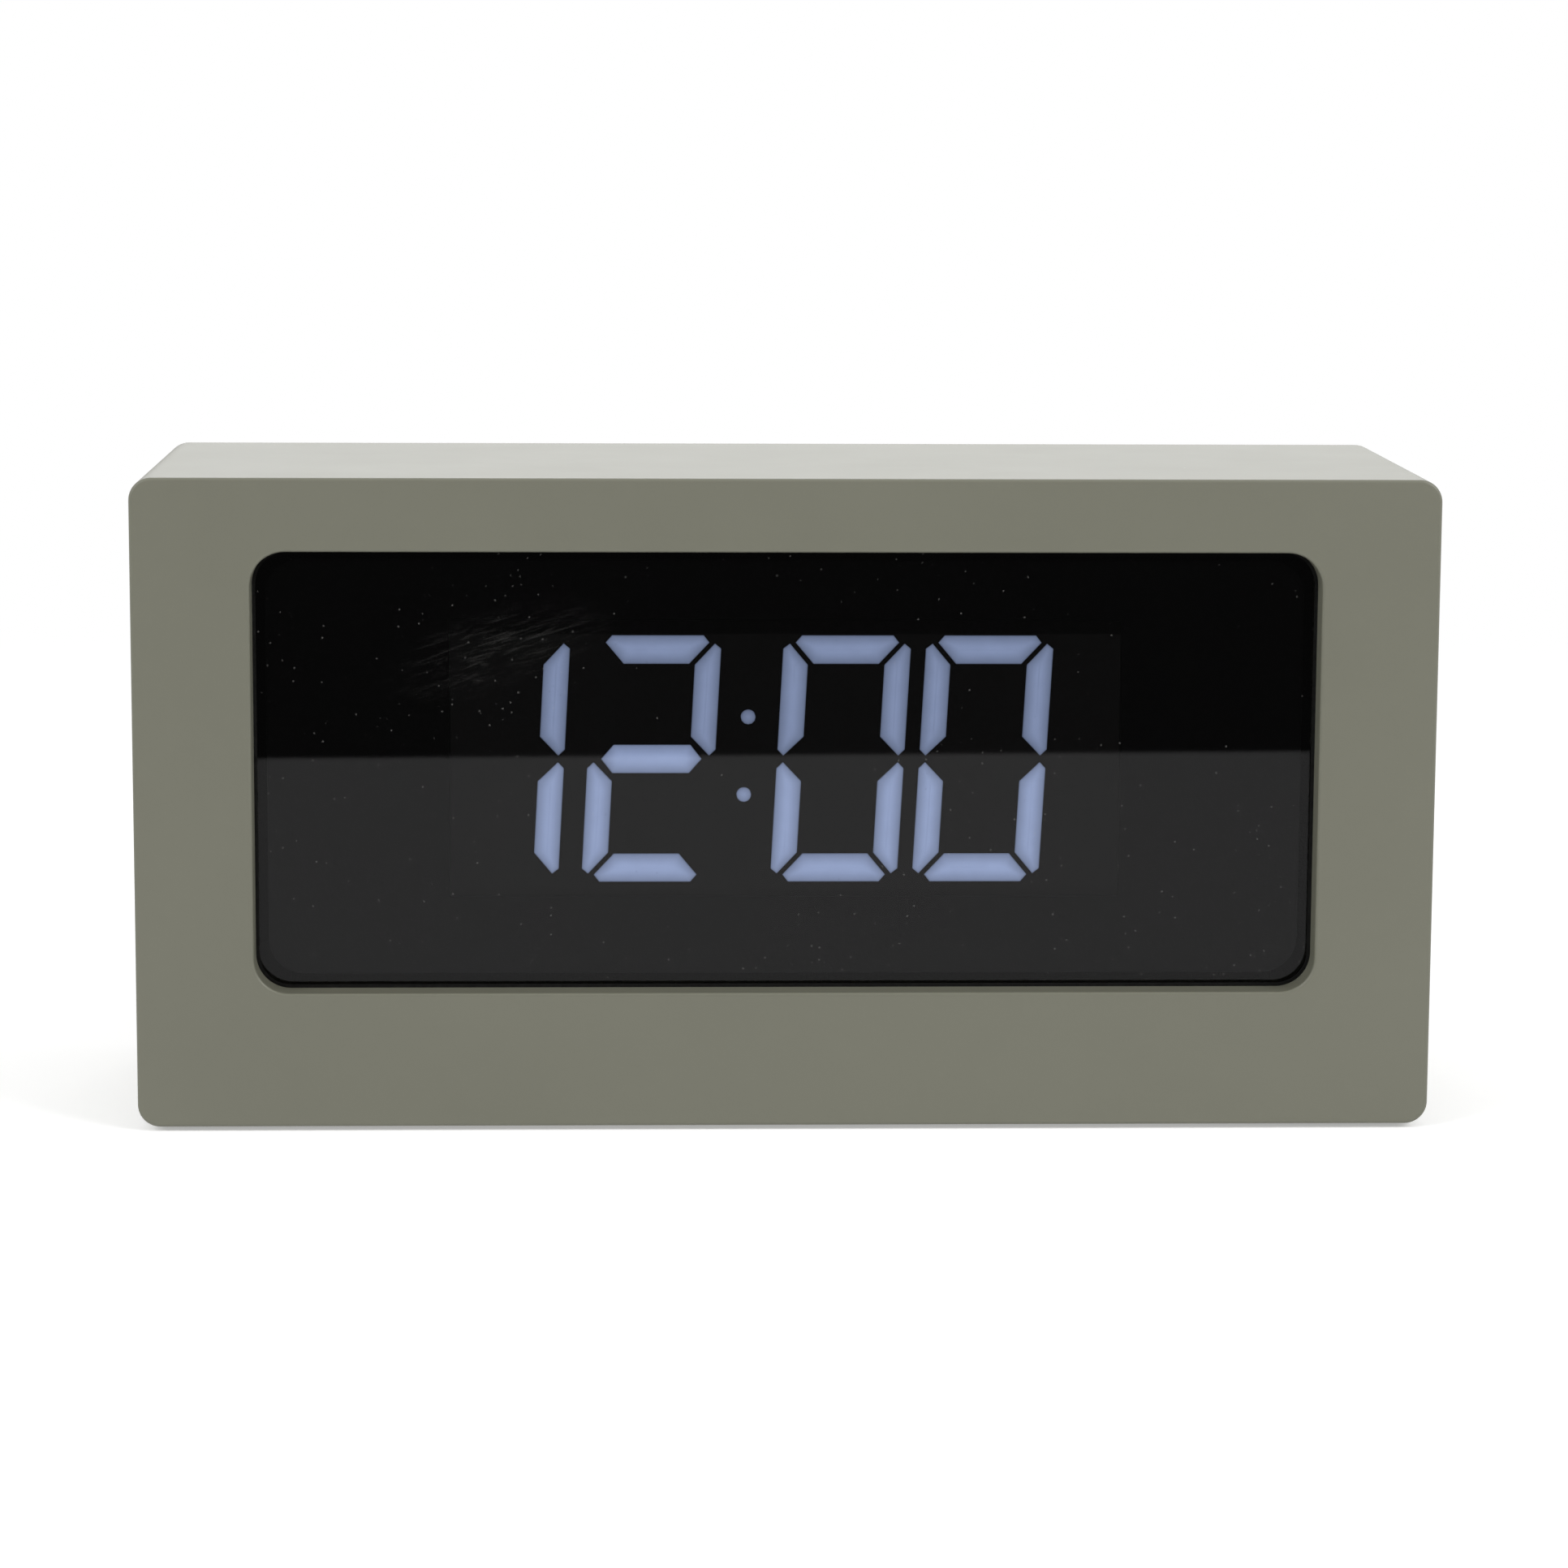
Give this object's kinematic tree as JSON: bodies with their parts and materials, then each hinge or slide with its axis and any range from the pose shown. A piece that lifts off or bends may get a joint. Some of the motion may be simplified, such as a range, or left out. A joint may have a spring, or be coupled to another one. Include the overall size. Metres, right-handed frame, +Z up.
{
  "type": "digital led desk clock",
  "caption": "Rounded-box desk clock with a sunk smoked lens, slanted seven-segment LED digits behind it, rear buttons, an alarm slide and a hinged battery door.",
  "frame": {"origin": "midway under the clock, on the surface that its feet stand on", "axes": "+X across to the right seen from the front, +Y from the front face to the back, +Z up"},
  "size_m": [0.172, 0.057, 0.087],
  "materials": {
    "housing_paint": "soft matt olive-grey coating",
    "cover_plastic": "fine moulded texture, olive-grey",
    "button_plastic": "satin moulded plastic",
    "foot_rubber": "matt rubber",
    "smoked_acrylic": "polished smoked acrylic",
    "black_foam": "closed-cell foam",
    "black_plastic": "matt black",
    "lit_segment": "cast resin, glowing cool white",
    "dark_segment": "cast resin, unlit",
    "circuit_board": "solder-masked board",
    "chip_black": "moulded chip package",
    "led_package": "white LED package",
    "screw_steel": "zinc plated",
    "contact_steel": "nickel plated spring steel",
    "cell_metal": "nickel plated can",
    "cell_jacket": "printed sleeve, plain",
    "socket_metal": "drawn shell",
    "socket_plastic": "ivory nylon",
    "ribbon_grey": "flat ribbon insulation",
    "lead_red": "PVC insulation",
    "lead_black": "PVC insulation"
  },
  "bodies": {
    "clock_body": {"housing": "housing_paint", "rubber_feet": "foot_rubber", "lens_gasket": "black_foam", "lens": "smoked_acrylic", "light_seal": "black_foam", "display_carrier": "black_plastic", "carrier_screws": "screw_steel", "segment_mask": "black_plastic", "reflector_block": "black_plastic", "hour_tens_lit_segments": "lit_segment", "hour_units_lit_segments": "lit_segment", "hour_units_dark_segments": "dark_segment", "minute_tens_lit_segments": "lit_segment", "minute_tens_dark_segments": "dark_segment", "minute_units_lit_segments": "lit_segment", "minute_units_dark_segments": "dark_segment", "colon_dots": "lit_segment", "segment_leds": "led_package", "display_board": "circuit_board", "display_board_screws": "screw_steel", "led_driver_chip": "chip_black", "display_socket": "socket_plastic", "rear_cover": "cover_plastic", "rear_cover_screws": "screw_steel", "cell_cans": "cell_metal", "cell_sleeves": "cell_jacket", "positive_contact": "contact_steel", "negative_contact": "contact_steel", "link_contact": "contact_steel", "contact_springs": "contact_steel", "control_board": "circuit_board", "control_board_screws": "screw_steel", "switch_cases": "chip_black", "slide_switch_case": "socket_metal", "power_socket_shell": "socket_metal", "power_socket_tongue": "chip_black", "buzzer": "chip_black", "controller_chip": "chip_black", "quartz_crystal": "socket_metal", "capacitor": "cell_metal", "control_socket": "socket_plastic", "ribbon_cable": "ribbon_grey", "positive_lead": "lead_red", "negative_lead": "lead_black"},
    "battery_door": {"battery_door": "cover_plastic", "door_pad": "black_foam"},
    "slide_knob": {"slide_switch_knob": "button_plastic"},
    "set_button": {"set_button": "button_plastic", "set_switch_plunger": "chip_black"},
    "up_button": {"up_button": "button_plastic", "up_switch_plunger": "chip_black"},
    "down_button": {"down_button": "button_plastic", "down_switch_plunger": "chip_black"},
    "alarm_button": {"alarm_button": "button_plastic", "alarm_switch_plunger": "chip_black"}
  },
  "joints": [
    {"name": "battery_door_hinge", "type": "hinge", "parent": "clock_body", "child": "battery_door", "pos_m": [0, 0.0258, 0.0092], "axis": [-1, 0, 0], "range_deg": [0, 95]},
    {"name": "alarm_slide", "type": "slide", "parent": "clock_body", "child": "slide_knob", "axis": [1, 0, 0], "range_m": [0, 0.004]},
    {"name": "set_button_press", "type": "slide", "parent": "clock_body", "child": "set_button", "axis": [0, -1, 0], "range_m": [0, 0.0007], "stiffness_N_per_m": 1500},
    {"name": "up_button_press", "type": "slide", "parent": "clock_body", "child": "up_button", "axis": [0, -1, 0], "range_m": [0, 0.0007], "stiffness_N_per_m": 1500},
    {"name": "down_button_press", "type": "slide", "parent": "clock_body", "child": "down_button", "axis": [0, -1, 0], "range_m": [0, 0.0007], "stiffness_N_per_m": 1500},
    {"name": "alarm_button_press", "type": "slide", "parent": "clock_body", "child": "alarm_button", "axis": [0, -1, 0], "range_m": [0, 0.0007], "stiffness_N_per_m": 1500}
  ]
}
